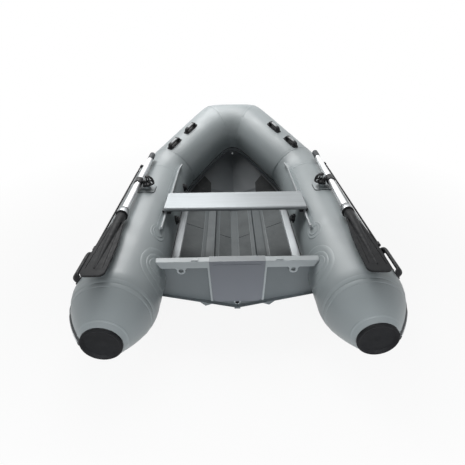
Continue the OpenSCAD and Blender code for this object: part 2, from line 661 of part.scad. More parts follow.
// Points of the blade's starboard edge from the neck to the middle of its end
blade_edge = concat([for (k = [0:0.1:1]) [blade_half(k), blade_y - 4 - k * (blade_len - 4 - end_r)]],
  [for (a = [15:15:90]) [blade_w / 2 - end_r * (1 - cos(a)), tip_end + end_r * (1 - sin(a))]]);
module blade_plan() polygon(concat(blade_edge,
  [for (i = [len(blade_edge) - 1:-1:0]) [-blade_edge[i][0], blade_edge[i][1]]]));
module oar_blade() color([0.05, 0.05, 0.06]) difference() {
  union() {
    translate([0, 0, -blade_t / 2]) linear_extrude(blade_t) blade_plan();
    rod(blade_y - 80, blade_y + 8, shaft_d / 2 + 6);
    translate([0, blade_y - 80, 0]) rotate([90, 0, 0])
      cylinder(r1 = shaft_d / 2 + 6, r2 = 7, h = blade_len - 130);
  }
  rod(blade_y - 60, blade_y + 10, shaft_d / 2);
  for (x = [-1, 1]) translate([x * 22, blade_y - 90, blade_t / 2 - 3]) rotate(x * 2.4) mirror([0, 1, 0])
    translate([-3, 0, 0]) cube([6, blade_len - 140, 10]);
}
module oar_sleeve_port() at_oar(-1, stow_port) oar_sleeve();
module oar_sleeve_starboard() at_oar(1, stow_starboard) oar_sleeve();
module oar_shaft_port() at_oar(-1, stow_port) oar_shaft();
module oar_shaft_starboard() at_oar(1, stow_starboard) oar_shaft();
module oar_grip_port() at_oar(-1, stow_port) oar_grip();
module oar_grip_starboard() at_oar(1, stow_starboard) oar_grip();
module oar_collar_port() at_oar(-1, stow_port) oar_collar();
module oar_collar_starboard() at_oar(1, stow_starboard) oar_collar();
module oar_blade_port() at_oar(-1, stow_port) oar_blade();
module oar_blade_starboard() at_oar(1, stow_starboard) oar_blade();

// Handles, in a section frame: X inboard, Y off the tube, Z along it. A round-cornered bail stands on two
// pads that follow the tube; half is half the length and off the grip's height above the tube
bail_w = 30;
module handle(half, off) difference() {
  union() {
    translate([bail_w / 2, 0, 0]) rotate([0, -90, 0]) linear_extrude(bail_w) difference() {
      translate([-half, R - 10]) round_rect(2 * half, off + 16, 20);
      translate([-half + 28, R - 30]) round_rect(2 * half - 56, off + 24, 8);
    }
    for (z = [-half - 6, half - 40]) intersection() {
      translate([0, 0, z]) cylinder(r = R + 5, h = 46, $fn = 256);
      translate([-27, R + 20, z]) rotate([90, 0, 0]) linear_extrude(40) round_rect(54, 46, 14);
    }
  }
  translate([0, 0, -half - 20]) cylinder(r = R + fab, h = 2 * half + 40, $fn = 256);
}
// Bow handles, turned in a little from the quarter's top, at two places along it
bow_handle_a = -8;
module bow_handles() color([0.06, 0.06, 0.07]) both() for (k = [0.285, 0.565])
  section(B + (C - B) * k, u2) rotate(bow_handle_a) handle(handle_len / 2, 34);
stern_a = 50;
stern_mid = y_cone + stern_len / 2 + 10;
module stern_handles() color([0.06, 0.06, 0.07]) both() section([tx, stern_mid, tube_z], u1) rotate(stern_a)
  handle(stern_len / 2, 40);

// Lifeline: lies along the side tube just off its skin and follows the shoulder to its forward eye
rope_r = R + rope_d / 2 + 4;
rope_y = stern_mid + stern_len / 2 + 40;
module rope_at() rotate(90 + rope_a) translate([rope_r, 0]) children();
module lifeline() color([0.08, 0.08, 0.09]) {
  section([tx, rope_y, tube_z], u1) linear_extrude(S1[1] - butt - rope_y) rope_at()
    circle(d = rope_d, $fn = 48);
  round_shoulder(rope_turn) rope_at() circle(d = rope_d, $fn = 48);
}
module lifeline_port() pick(-1) lifeline();
module lifeline_starboard() lifeline();
// An eye is a ferrule past the cord's end on a foot that bears on the tube
eye_len = 28;
module eye2d() rotate(90 + rope_a) {
  translate([rope_r, 0]) circle(d = rope_d + 8);
  translate([R - 6, -13]) square([rope_r - R, 26]);
}
eye_turn = eye_len / (shoulder_r + R) * 180 / PI;
module lifeline_eyes() color([0.10, 0.10, 0.11]) both() {
  difference() {
    section([tx, rope_y - eye_len, tube_z], u1) linear_extrude(eye_len - butt) eye2d();
    side_core(R + fab);
  }
  bend(F1) rotate(rope_turn + 0.1) rotate_extrude(angle = eye_turn, $fn = 256) translate([shoulder_r, 0])
    difference() {
      rotate(ca1) mirror([0, 1]) eye2d();
      circle(R + fab, $fn = 256);
    }
}

// Inflation valves: flange and cup on the tube's inboard side, each with a turning cap
valve_a = 80;
valve_at = [y_tr + valve_y, y_tr + valve_y, S1[1] - valve_d + 4];
valve_s = [-1, 1, -1];
module at_valve(i) pick(valve_s[i]) translate([tx, valve_at[i], tube_z]) rotate([0, -valve_a, 0])
  translate([0, 0, R]) children();
module valve_bodies() color([0.07, 0.07, 0.08]) for (i = [0:2]) difference() {
  at_valve(i) {
    translate([0, 0, -12]) cylinder(d = valve_d, h = 18);
    translate([0, 0, 5]) cylinder(d = valve_d - 24, h = 5);
  }
  pick(valve_s[i]) side_core(R + fab);
}
module valve_cap() color([0.05, 0.05, 0.06]) {
  translate([0, 0, 10.3]) cylinder(d = valve_d - 18, h = 10);
  translate([-4, -valve_d / 2 + 13, 20.3]) cube([8, valve_d - 26, 5]);
}
module valve_cap_port() at_valve(0) valve_cap();
module valve_cap_starboard() at_valve(1) valve_cap();
module valve_cap_bow() at_valve(2) valve_cap();

hull_bottom_port();
hull_bottom_starboard();
bow_plate_port();
bow_plate_starboard();
keel_bar();
spray_rails();
cradles();
stringers();
floor_rails();
centre_strip();
mats();
bow_gusset();
transom_plate();
transom_rail();
transom_ribs();
motor_pad_outer();
motor_pad_inner();
davit_eyes();
drain_socket();
drain_plug();
side_tube_port();
side_tube_starboard();
shoulder_port();
shoulder_starboard();
quarter_port();
quarter_starboard();
bow_gore_port();
bow_gore_starboard();
cone_port();
cone_starboard();
end_caps();
bulkheads();
strake_port();
strake_starboard();
seat_strips();
bench();
bench_holders();
oarlock_bases();
swivel_port();
swivel_starboard();
oar_sleeve_port();
oar_sleeve_starboard();
oar_shaft_port();
oar_shaft_starboard();
oar_grip_port();
oar_grip_starboard();
oar_collar_port();
oar_collar_starboard();
oar_blade_port();
oar_blade_starboard();
bow_handles();
stern_handles();
lifeline_port();
lifeline_starboard();
lifeline_eyes();
valve_bodies();
valve_cap_port();
valve_cap_starboard();
valve_cap_bow();
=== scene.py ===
import math

import bmesh
import bpy
from mathutils import Matrix, Vector


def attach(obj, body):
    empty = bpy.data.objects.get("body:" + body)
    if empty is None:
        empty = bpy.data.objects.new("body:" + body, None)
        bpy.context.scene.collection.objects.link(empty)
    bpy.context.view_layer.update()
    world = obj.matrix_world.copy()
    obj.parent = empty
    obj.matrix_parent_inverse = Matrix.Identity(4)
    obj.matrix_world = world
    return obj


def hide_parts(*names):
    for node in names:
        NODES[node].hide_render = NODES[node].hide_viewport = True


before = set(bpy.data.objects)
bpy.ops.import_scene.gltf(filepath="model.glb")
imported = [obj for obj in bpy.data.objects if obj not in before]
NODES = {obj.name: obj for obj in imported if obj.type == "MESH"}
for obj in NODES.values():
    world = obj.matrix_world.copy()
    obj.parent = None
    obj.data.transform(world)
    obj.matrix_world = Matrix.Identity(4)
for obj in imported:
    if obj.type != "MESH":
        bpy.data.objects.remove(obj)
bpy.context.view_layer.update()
scene = bpy.context.scene

# Sizes in metres and angles in degrees, as the solids have them
R, TX, TZ = 0.210, 0.605, 0.236
Y_TR = -0.922764
Y_CAP, CONE_LEN, CAP_R, CONE_POWER = Y_TR - 0.421, 0.249, 0.094, 1.645
SHOULDER_R, NOSE_X = 0.510, 0.156
CORNER_Y, NOSE_Y, BOW_RISE = 1.357, 2.063, 0.265
STRAKE_W = 0.046
DEADRISE, STEM_RISE, PLATE, KEEL_T = 13.0, 30.0, 0.003, 0.006
CHINE_PHI, CHINE_OFF, FLANGE_PHI = -126.0, 0.0063, -110.0
ROPE_PHI, ROPE_OFF, ROPE_D, ROPE_TURN = 45.0, 0.010, 0.012, 9.0
LOCK_Y, LOCK_X, OAR_IN, OAR_Z = 0.741, 0.597, 0.050, 0.492
BLADE_Y = -0.472
STOW = {1: -1.43, -1: -0.15}
SIDES = ((1, "starboard"), (-1, "port"))
# Handles, set by the photograph: the bow handles are shorter than their solids, the stern handles lower
BOW_HANDLE_AT, BOW_HANDLE_PHI, BOW_HANDLE_HALF, BOW_HANDLE_OFF = (0.29, 0.57), -4.0, 0.074, 0.029
STERN_HANDLE_PHI, STERN_HANDLE_HALF, STERN_HANDLE_OFF = 50.0, 0.113, 0.024

# The starboard tube's axis: stern cone, side, shoulder bend, quarter and half of the bow panel
UP = Vector((0, 0, 1))
B = Vector((TX, Y_TR + CORNER_Y, TZ))
C = Vector((NOSE_X, Y_TR + NOSE_Y, TZ + BOW_RISE))
U1, U2, U3 = Vector((0, 1, 0)), (C - B).normalized(), Vector((-1, 0, 0))
U4 = Vector((U2.x, -U2.y, -U2.z))
NM = (U2 + U3).normalized()
TH1 = U1.angle(U2)
T1 = SHOULDER_R * math.tan(TH1 / 2)
M1 = (U2 - U2.dot(U1) * U1).normalized()
Z1 = (-M1).cross(U1)
S1, E1 = B - U1 * T1, B + U2 * T1
S2 = C - U2 * NOSE_X
# Distances along it from the cap's seat
S_CONE = CONE_LEN
S_SIDE = S1.y - Y_CAP
S_SHOULDER = S_SIDE + SHOULDER_R * TH1
S_QUARTER = S_SHOULDER + (S2 - E1).length
S_MITRE = S_QUARTER + NOSE_X
S_MID = S_MITRE + NOSE_X
# The cone's seam lies aft of where the taper starts, as in the photograph
S_TAPE = S_CONE - 0.07
SEAMS = [S_TAPE, S_SIDE, S_SHOULDER, S_MITRE]
SEAM_DIP, SEAM_REACH = 0.0016, 0.018
# Rounding of the mitred corners, outboard and inboard
MITRE_OUT, MITRE_IN = 0.034, 0.120


def s_at(y):
    """Distance along the side tube's axis of a place y."""
    return y - Y_CAP


def steps(a, b, n):
    """n + 1 even steps from a to b."""
    return [a + (b - a) * i / n for i in range(n + 1)]


def circle(n):
    """Cosine and sine of n even turns."""
    return [(math.cos(2 * math.pi * k / n), math.sin(2 * math.pi * k / n)) for k in range(n)]


def across(t):
    """Inboard and up directions of the section across t."""
    inb = UP.cross(t).normalized()
    return inb, t.cross(inb)


def around(t, phi):
    """Direction in the section across t, phi degrees from its top, positive outboard."""
    inb, up = across(t)
    a = math.radians(phi)
    return up * math.cos(a) - inb * math.sin(a)


def axis(s):
    """Point and direction of the axis from the cap to the end of the shoulder."""
    if s <= S_SIDE:
        return Vector((TX, Y_CAP + s, TZ)), U1.copy()
    a = (s - S_SIDE) / SHOULDER_R
    return (S1 + M1 * SHOULDER_R + SHOULDER_R * (U1 * math.sin(a) - M1 * math.cos(a)),
            (U1 * math.cos(a) + M1 * math.sin(a)).normalized())


def carry(s, phi):
    """Angle at s of a line that starts at phi on the side tube and goes round the shoulder with it."""
    if s <= S_SIDE:
        return phi
    d = around(U1, phi)
    turn = math.atan2(d.dot(Z1), -d.dot(M1))
    a = min((s - S_SIDE) / SHOULDER_R, TH1)
    t = (U1 * math.cos(a) + M1 * math.sin(a)).normalized()
    d = math.cos(turn) * (U1 * math.sin(a) - M1 * math.cos(a)) + math.sin(turn) * Z1
    inb, up = across(t)
    return math.degrees(math.atan2(-d.dot(inb), d.dot(up)))


def radius(s):
    """Radius of the skin: the barrel-shaped cone, then the tube, drawn in a little at each seam."""
    r = R - (R - CAP_R) * max(0.0, 1 - s / CONE_LEN) ** CONE_POWER
    return r - sum(SEAM_DIP * math.exp(-((s - m) / SEAM_REACH) ** 2) for m in SEAMS)


def soft(x, eps):
    """max(x, 0) with a rounded corner."""
    return (x + math.hypot(x, eps)) / 2


def mitred(s, phi, r):
    """Point on the quarter or the bow panel, which meet in two rounded mitres."""
    edge = E1 + around(U2, phi) * r
    corner = edge + U2 * ((C - edge).dot(NM) / U2.dot(NM))
    half = corner.x
    eps = MITRE_OUT + (MITRE_IN - MITRE_OUT) * (1 - math.sin(math.radians(phi))) / 2
    x = -2 * half + (s - S_QUARTER) * (1 if s < S_QUARTER else half / NOSE_X)
    a, b, back = soft(x + half, eps), soft(x - half, eps), soft(-x - half, eps)
    return Vector((0, corner.y, corner.z)) - U2 * back + U3 * (a - b - half) + U4 * b


def spot(s, phi, off=0.0, side=1):
    """Point on the tube: s along it, phi degrees from its top, positive outboard, off above the skin."""
    r = radius(s) + off
    if s <= S_SHOULDER:
        p, t = axis(s)
        q = p + around(t, phi) * r
    else:
        q = mitred(s, phi, r)
    return Vector((q.x * side, q.y, q.z))


# Meshes
def mesh_object(name, verts, faces, mats, smooth=True):
    """Mesh object in the scene, with its materials."""
    me = bpy.data.meshes.new(name)
    me.from_pydata([tuple(v) for v in verts], [], faces)
    me.validate()
    me.polygons.foreach_set("use_smooth", [smooth] * len(me.polygons))
    for m in mats:
        me.materials.append(m)
    ob = bpy.data.objects.new(name, me)
    scene.collection.objects.link(ob)
    return ob


class Shape:
    """Collects grids of points into one mesh; each grid has a material number."""

    def __init__(self):
        self.v, self.f, self.m = [], [], []

    def add(self, rows, closed_u=False, closed_v=False, caps=False, mat=0):
        base, nu, nv = len(self.v), len(rows), len(rows[0])
        self.v += [v for r in rows for v in r]
        faces = []
        for i in range(nu if closed_u else nu - 1):
            for j in range(nv if closed_v else nv - 1):
                a, b = i * nv, (i + 1) % nu * nv
                k = (j + 1) % nv
                faces.append((base + a + j, base + a + k, base + b + k, base + b + j))
        if caps:
            faces.append(tuple(base + j for j in range(nv))[::-1])
            faces.append(tuple(base + (nu - 1) * nv + j for j in range(nv)))
        self.f += faces
        self.m += [mat] * len(faces)
        return self

    def done(self, name, *mats, body="boat", slot=None, nodes=(), sharp=None):
        ob = mesh_object(name, self.v, self.f, mats)
        ob.data.polygons.foreach_set("material_index", self.m)
        bm = bmesh.new()
        bm.from_mesh(ob.data)
        bmesh.ops.recalc_face_normals(bm, faces=bm.faces)
        if sharp:
            for e in bm.edges:
                e.smooth = not (len(e.link_faces) == 2 and e.calc_face_angle() > math.radians(sharp))
        bm.to_mesh(ob.data)
        bm.free()
        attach(ob, body)
        if nodes:
            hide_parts(*nodes)
        return ob


def tube_rows(points, r, n=12):
    """Rings of radius r round a line of points."""
    rows, ref = [], None
    for i, p in enumerate(points):
        t = (points[min(i + 1, len(points) - 1)] - points[max(i - 1, 0)]).normalized()
        if ref is None:
            ref = Vector((0, 0, 1)) if abs(t.z) < 0.8 else Vector((1, 0, 0))
        x = (ref - ref.dot(t) * t).normalized()
        y = t.cross(x)
        ref = x
        rows.append([p + r * (x * c + y * sn) for c, sn in circle(n)])
    return rows


def turned(shape, centre, normal, profile, n=20, mat=0):
    """A turned piece: profile of (radius, height) along the normal, closed at both ends."""
    normal = Vector(normal).normalized()
    x = normal.orthogonal().normalized()
    y = normal.cross(x)
    shape.add([[Vector(centre) + normal * h + r * (x * c + y * sn) for c, sn in circle(n)]
               for r, h in profile], closed_v=True, caps=True, mat=mat)


# Materials
def new_mat(name):
    """New material, its node tree and its shader."""
    m = bpy.data.materials.new(name)
    m.use_nodes = True
    nt = m.node_tree
    return m, nt, nt.nodes["Principled BSDF"]


def node(nt, kind, **kw):
    """New node, whose keywords set its inputs or else its properties."""
    n = nt.nodes.new(kind)
    for k, v in kw.items():
        if k in n.inputs.keys():
            n.inputs[k].default_value = v
        else:
            setattr(n, k, v)
    return n


def coords(nt):
    return node(nt, "ShaderNodeTexCoord").outputs["Object"]


def ramp(nt, fac, low, high, ends=(0.3, 0.7)):
    """Colour or grey level that runs from low to high as fac passes the two ends."""
    n = node(nt, "ShaderNodeValToRGB")
    for e, p, c in zip(n.color_ramp.elements, ends, (low, high)):
        e.position = p
        e.color = (*c, 1) if isinstance(c, tuple) else (c, c, c, 1)
    nt.links.new(fac, n.inputs["Fac"])
    return n.outputs["Color"]


def noise(nt, co, scale, detail=3.0, rough=0.55, stretch=None):
    """Grey level of a noise pattern, finer where stretch is larger."""
    if stretch:
        mp = node(nt, "ShaderNodeMapping", Scale=stretch)
        nt.links.new(co, mp.inputs["Vector"])
        co = mp.outputs["Vector"]
    n = node(nt, "ShaderNodeTexNoise", Scale=scale, Detail=detail, Roughness=rough)
    nt.links.new(co, n.inputs["Vector"])
    return n.outputs["Fac"]


def bump(nt, p, *heights):
    """Chain of bumps from (height socket, strength, distance) into the shader's normal."""
    out = None
    for h, strength, dist in heights:
        b = node(nt, "ShaderNodeBump", Strength=strength, Distance=dist)
        nt.links.new(h, b.inputs["Height"])
        if out:
            nt.links.new(out, b.inputs["Normal"])
        out = b.outputs["Normal"]
    nt.links.new(out, p.inputs["Normal"])


def srgb(*c):
    """Linear colour of three levels of 255."""
    return tuple(((v / 255 + 0.055) / 1.055) ** 2.4 if v / 255 > 0.04045 else v / 255 / 12.92 for v in c)


def shade(c, k):
    return tuple(v * k for v in c)


def mat_surface(name, col, rough, tone=(0.9, 1.08), blotch=3.0, grain=(500, 0.06, 0.0004),
                wave=(6, 0.1, 0.003), specular=0.5):
    """Coated surface: slow change of tone, uneven gloss, a fine grain and a slow wave."""
    m, nt, p = new_mat(name)
    co = coords(nt)
    tint = ramp(nt, noise(nt, co, blotch, 4), shade(col, tone[0]), shade(col, tone[1]))
    nt.links.new(tint, p.inputs["Base Color"])
    nt.links.new(ramp(nt, noise(nt, co, 5 * blotch, 4), *rough), p.inputs["Roughness"])
    bump(nt, p, *((noise(nt, co, scale, 2), strength, dist) for scale, strength, dist in (wave, grain)))
    p.inputs["Specular IOR Level"].default_value = specular
    return m


def mat_fabric(name, col, rough=(0.34, 0.46), wave=0.16):
    """Coated tube fabric: the weave just shows through the coating."""
    m, nt, p = new_mat(name)
    co = coords(nt)
    nt.links.new(ramp(nt, noise(nt, co, 1.7, 4), shade(col, 0.94), shade(col, 1.05)), p.inputs["Base Color"])
    nt.links.new(ramp(nt, noise(nt, co, 9, 4), *rough), p.inputs["Roughness"])
    weave = []
    for direction in "XY":
        w = node(nt, "ShaderNodeTexWave", Scale=260.0, Distortion=0.6, bands_direction=direction)
        nt.links.new(co, w.inputs["Vector"])
        weave.append((w.outputs["Fac"], 0.03, 0.0003))
    bump(nt, p, (noise(nt, co, 5, 2), wave, 0.006), *weave)
    p.inputs["Specular IOR Level"].default_value = 0.5
    return m


def mat_brushed(name, col, stretch, rough, metallic=1.0, tone=(0.86, 1.06)):
    """Brushed metal, whose lines run along the direction of the least stretch."""
    m, nt, p = new_mat(name)
    lines = noise(nt, coords(nt), 1.0, 5, 0.6, stretch)
    tint = ramp(nt, lines, shade(col, tone[0]), shade(col, tone[1]), (0.25, 0.75))
    nt.links.new(tint, p.inputs["Base Color"])
    nt.links.new(ramp(nt, lines, *rough), p.inputs["Roughness"])
    bump(nt, p, (lines, 0.12, 0.0006))
    p.inputs["Metallic"].default_value = metallic
    return m


def mat_rubber(name, col, rough=(0.42, 0.58), grain=380, specular=0.22):
    return mat_surface(name, col, rough, (0.8, 1.25), 9.0, (grain, 0.22, 0.0006), (20, 0.04, 0.001),
                       specular)


def mat_mat(name, col):
    """Anti-slip mat with a pebbled face."""
    m, nt, p = new_mat(name)
    co = coords(nt)
    v = node(nt, "ShaderNodeTexVoronoi", Scale=160.0)
    nt.links.new(co, v.inputs["Vector"])
    nt.links.new(ramp(nt, noise(nt, co, 6, 5), shade(col, 0.84), shade(col, 1.14)), p.inputs["Base Color"])
    nt.links.new(ramp(nt, noise(nt, co, 40, 4), 0.6, 0.78), p.inputs["Roughness"])
    bump(nt, p, (v.outputs["Distance"], 0.35, 0.0012))
    p.inputs["Specular IOR Level"].default_value = 0.2
    return m


GREY = srgb(157, 165, 167)
PVC = mat_fabric("tube_fabric", GREY)
TAPE = mat_fabric("tape_fabric", shade(GREY, 1.05), (0.34, 0.46), 0.05)
HULL = mat_surface("hull_paint", srgb(112, 119, 122), (0.38, 0.5))
# The bow plates are darker than the floor paint: painted shade where the bow tube shades them
BOW_PLATE_SHADE = mat_surface("bow_painted_shade", srgb(74, 78, 81), (0.46, 0.58), (0.94, 1.05), specular=0.25)
# The cradles' near-black colour is painted shade: it stands in for the shade low on the tubes' inner faces
CRADLE_SHADE = mat_surface("cradle_painted_shade", srgb(44, 46, 48), (0.45, 0.58), specular=0.25)
RAIL = mat_surface("rail_paint", srgb(176, 183, 185), (0.36, 0.48))
FLOOR = mat_surface("floor_paint", srgb(88, 94, 96), (0.46, 0.6), specular=0.35)
PAD_FINISH = ((0.42, 0.52), (0.97, 1.03), 2.0, (260, 0.14, 0.0005))
PAD = mat_surface("motor_pad", srgb(122, 126, 133), *PAD_FINISH)
ALU = mat_brushed("brushed_bench", srgb(132, 136, 138), (3.0, 130.0, 130.0), (0.38, 0.52),
                  tone=(0.78, 1.12))
ALU_LONG = mat_brushed("brushed_rail", srgb(128, 131, 133), (130.0, 3.0, 130.0), (0.3, 0.42))
SHAFT = mat_brushed("oar_shaft", srgb(246, 247, 248), (6.0, 6.0, 6.0), (0.26, 0.36), 0.85, (0.97, 1.02))
COLLAR = mat_brushed("collar", srgb(158, 161, 163), (40.0, 40.0, 40.0), (0.26, 0.38), 0.9)
MATS = mat_mat("anti_slip", srgb(94, 98, 99))
BLACK = mat_rubber("black_rubber", srgb(27, 28, 30))
PLASTIC = mat_rubber("black_plastic", srgb(30, 31, 33), (0.32, 0.46), 520)
BLADE = mat_rubber("blade_plastic", srgb(29, 30, 32), (0.46, 0.6), 300, 0.14)
GRIP = mat_rubber("grip_grey", srgb(70, 72, 75), (0.48, 0.6), 260)
# The handles' pale grip colour is a painted highlight of the sky on their tops
GRIP_HIGHLIGHT = mat_rubber("handle_painted_highlight", srgb(188, 191, 193), (0.4, 0.52), 300)
ROPE = mat_rubber("rope", srgb(30, 30, 32), (0.62, 0.8), 900)
CAPM = mat_rubber("cap_rubber", srgb(27, 28, 30), (0.5, 0.64), 200, 0.12)
BEAD = mat_surface("strip_bead", srgb(182, 187, 189), (0.3, 0.42))
STEEL = mat_brushed("steel", srgb(200, 202, 204), (60.0, 60.0, 60.0), (0.22, 0.34))

BY_NODE = {
    HULL: ["hull_bottom_port", "hull_bottom_starboard", "keel_bar", "spray_rails", "transom_plate"],
    CRADLE_SHADE: ["cradles"],
    FLOOR: ["stringers", "centre_strip", "bow_gusset"],
    ALU_LONG: ["floor_rails"],
    RAIL: ["transom_rail", "transom_ribs", "davit_eyes", "drain_socket"],
    PAD: ["motor_pad_outer", "motor_pad_inner"],
    ALU: ["bench"],
    MATS: ["mats"],
    PLASTIC: ["drain_plug", "bench_holders", "swivel_port", "swivel_starboard", "oar_sleeve_port",
              "oar_sleeve_starboard", "valve_bodies", "valve_cap_port", "valve_cap_starboard",
              "valve_cap_bow"],
    BLACK: ["lifeline_eyes"],
    PVC: ["seat_strips", "oarlock_bases", "bulkheads"],
    GRIP: ["oar_grip_port", "oar_grip_starboard"],
    SHAFT: ["oar_shaft_port", "oar_shaft_starboard"],
    COLLAR: ["oar_collar_port", "oar_collar_starboard"],
    BLADE: ["oar_blade_port", "oar_blade_starboard"],
    CAPM: ["end_caps"],
}
for m, names in BY_NODE.items():
    for n in names:
        NODES[n].data.materials.clear()
        NODES[n].data.materials.append(m)


def second_finish(names, mat, chosen):
    """Gives the faces of some nodes that a test picks a second material."""
    for n in names:
        me = NODES[n].data
        me.materials.append(mat)
        for p in me.polygons:
            p.material_index = int(chosen(p))


def off_axis(p):
    """Least distance of a point from the axis of its own side's tube, up to the end of the shoulder."""
    q = Vector((abs(p.x), p.y, p.z))
    s = s_at(q.y)
    tries = 60 if s > S_SIDE - 0.05 else 1
    return min((q - axis(min(s + k * 0.004, S_SHOULDER))[0]).length for k in range(tries))


# The bead of a seat strip is paler than its flange; a blade's grooves and edges are black, painted shade in
# the grooves and on the edge faces
BEAD_UP, GROOVE_Z, GROOVE_TOL = 0.009, 0.002, 0.0008


def painted_shade_on_blade(p):
    """Whether a face is on a blade's edge or in one of its grooves, which are black as painted shade."""
    groove = abs(p.center.z - OAR_Z - GROOVE_Z) < GROOVE_TOL
    return abs(p.normal.z) < 0.35 or (p.normal.z > 0.9 and groove)


second_finish(["seat_strips"], BEAD, lambda p: off_axis(p.center) > R + BEAD_UP)
second_finish(["oar_blade_port", "oar_blade_starboard"], BLACK, painted_shade_on_blade)
# The motor pad's cap over the rail is paler than its face
PAD_CAP = mat_surface("motor_pad_cap", srgb(142, 148, 151), *PAD_FINISH)
second_finish(["motor_pad_outer"], PAD_CAP, lambda p: p.normal.z > 0.7)
# Painted shade: the bow mats, shaded by the bow tube, and the edges of all mats, in the seams between them,
# are darker than the floor mats' tops
MATS_SHADE = mat_mat("anti_slip_painted_shade", srgb(30, 32, 33))
second_finish(["mats"], MATS_SHADE, lambda p: p.center.y > S1.y - 0.001 or abs(p.normal.z) < 0.5)

# Broken edges on the rigid pieces, by width
EDGES = {
    0.0008: ["mats", "seat_strips", "bow_gusset"],
    0.0010: ["stringers", "centre_strip", "oar_collar_port", "oar_collar_starboard", "drain_socket",
             "end_caps"],
    0.0012: ["bench", "davit_eyes", "floor_rails", "valve_cap_port", "valve_cap_starboard", "valve_cap_bow",
             "motor_pad_inner"],
    0.0015: ["transom_ribs", "swivel_port", "swivel_starboard", "bench_holders", "valve_bodies"],
    0.0016: ["motor_pad_outer", "oar_blade_port", "oar_blade_starboard"],
    0.0020: ["lifeline_eyes"],
    0.0022: ["oarlock_bases"],
    0.0030: ["transom_rail", "oar_grip_port", "oar_grip_starboard"],
}
for width, names in EDGES.items():
    for n in names:
        NODES[n].modifiers.new("weld", "WELD").merge_threshold = 1e-5
        bv = NODES[n].modifiers.new("edge", "BEVEL")
        bv.width, bv.segments, bv.limit_method, bv.angle_limit = width, 2, "ANGLE", math.radians(32)

# Tube skin: one fabric skin round the whole U
SEG, LEAST_STEP = 112, 0.0012
marks = {S_MID}
for a, b, n in ((0, S_CONE, 34), (S_CONE, S_SIDE, 70), (S_SIDE, S_SHOULDER, 40),
                (S_SHOULDER, S_QUARTER, 30), (S_QUARTER, S_MITRE, 26), (S_MITRE, S_MID, 20)):
    marks |= set(steps(a, b, n)[:-1])
marks |= {m + i * 0.005 for m in SEAMS for i in range(-8, 9)}
stations = [0.0]
for s in sorted(marks):
    if s - stations[-1] > LEAST_STEP:
        stations.append(s)
stations[-1] = S_MID


def ring(s, side):
    return [spot(s, 360 * j / SEG, 0.0, side) for j in range(SEG)]


rows = [ring(s, 1) for s in stations] + [ring(s, -1) for s in stations[-2::-1]]
Shape().add(rows, closed_v=True).done(
    "tube_skin", PVC, slot="tube",
    nodes=["side_tube_port", "side_tube_starboard", "shoulder_port", "shoulder_starboard", "quarter_port",
           "quarter_starboard", "bow_gore_port", "bow_gore_starboard", "cone_port", "cone_starboard"])


# Depth to which the edges of tapes and patches go under the skin
SUNK = -0.0004


def band(shape, mid, half, off, side, n=96):
    """Tape round the tube, raised off the skin with soft edges."""
    edge = [(half - 0.0015, off), (half, off * 0.75), (half + 0.001, SUNK)]
    prof = [(-d, o) for d, o in edge[::-1]] + edge
    shape.add([[spot(mid + d, 360 * j / n, o, side) for j in range(n)] for d, o in prof], closed_v=True)


def patch(shape, s0, phi0, a, b, off, side, power=2.2, rim=0.0, border=False):
    """Rounded patch with a raised rim, a along and b round the tube from its middle; or its border alone."""
    prof = [(0.02, off), (0.3, off), (0.6, off), (0.84, off), (0.87, off + rim), (0.95, off + rim),
            (0.985, off * 0.8), (1.0, SUNK)]
    rows = []
    for k, h in prof[3:] if border else prof:
        row = []
        for c, sn in circle(56):
            q = k * (abs(c) ** power + abs(sn) ** power) ** (-1 / power)
            row.append(spot(s0 + a * q * c, phi0 + math.degrees(b * q * sn / R), h, side))
        rows.append(row)
    shape.add(rows, closed_v=True)


# Tapes: place along the tube, half width, height
TAPES = ((S_TAPE - 0.012, 0.009, 0.0018), (S_TAPE + 0.012, 0.009, 0.0014), (0.024, 0.0035, 0.001),
         (S_SIDE, 0.012, 0.0016), (S_SHOULDER, 0.012, 0.0014), (S_MITRE, 0.010, 0.0018))
# Patches at the ends of the transom rail and of the seat strips: place ahead of the transom, angle,
# half length, half width, height, rim
PATCHES = ((-0.010, -74, 0.150, 0.150, 0.0010, 0.0004), (-0.012, -70, 0.098, 0.104, 0.0020, 0.0004),
           (-0.014, -62, 0.052, 0.056, 0.0034, 0.0002), (0.270, -47, 0.075, 0.052, 0.0012, 0.0007),
           (0.274, -47, 0.048, 0.036, 0.0024, 0.0007))
# Border of the patch under an oarlock: angle, half length, half width, height
LOCK_PATCH = (-2.2, 0.069, 0.060, 0.0022)
tapes, patches, outlines = Shape(), Shape(), Shape()
for side, _ in SIDES:
    for mid, half, off in TAPES:
        band(tapes, mid, half, off, side)
    for y, phi, a, b, off, rim in PATCHES:
        patch(patches, s_at(Y_TR + y), phi, a, b, off, side, rim=rim)
    patch(outlines, s_at(Y_TR + LOCK_Y), *LOCK_PATCH, side, power=5.0, border=True)
tapes.done("seam_tapes", TAPE, slot="tube")
patches.done("patches", TAPE, slot="tube")
outlines.done("oarlock_patches", BLACK, slot="black_rubber")

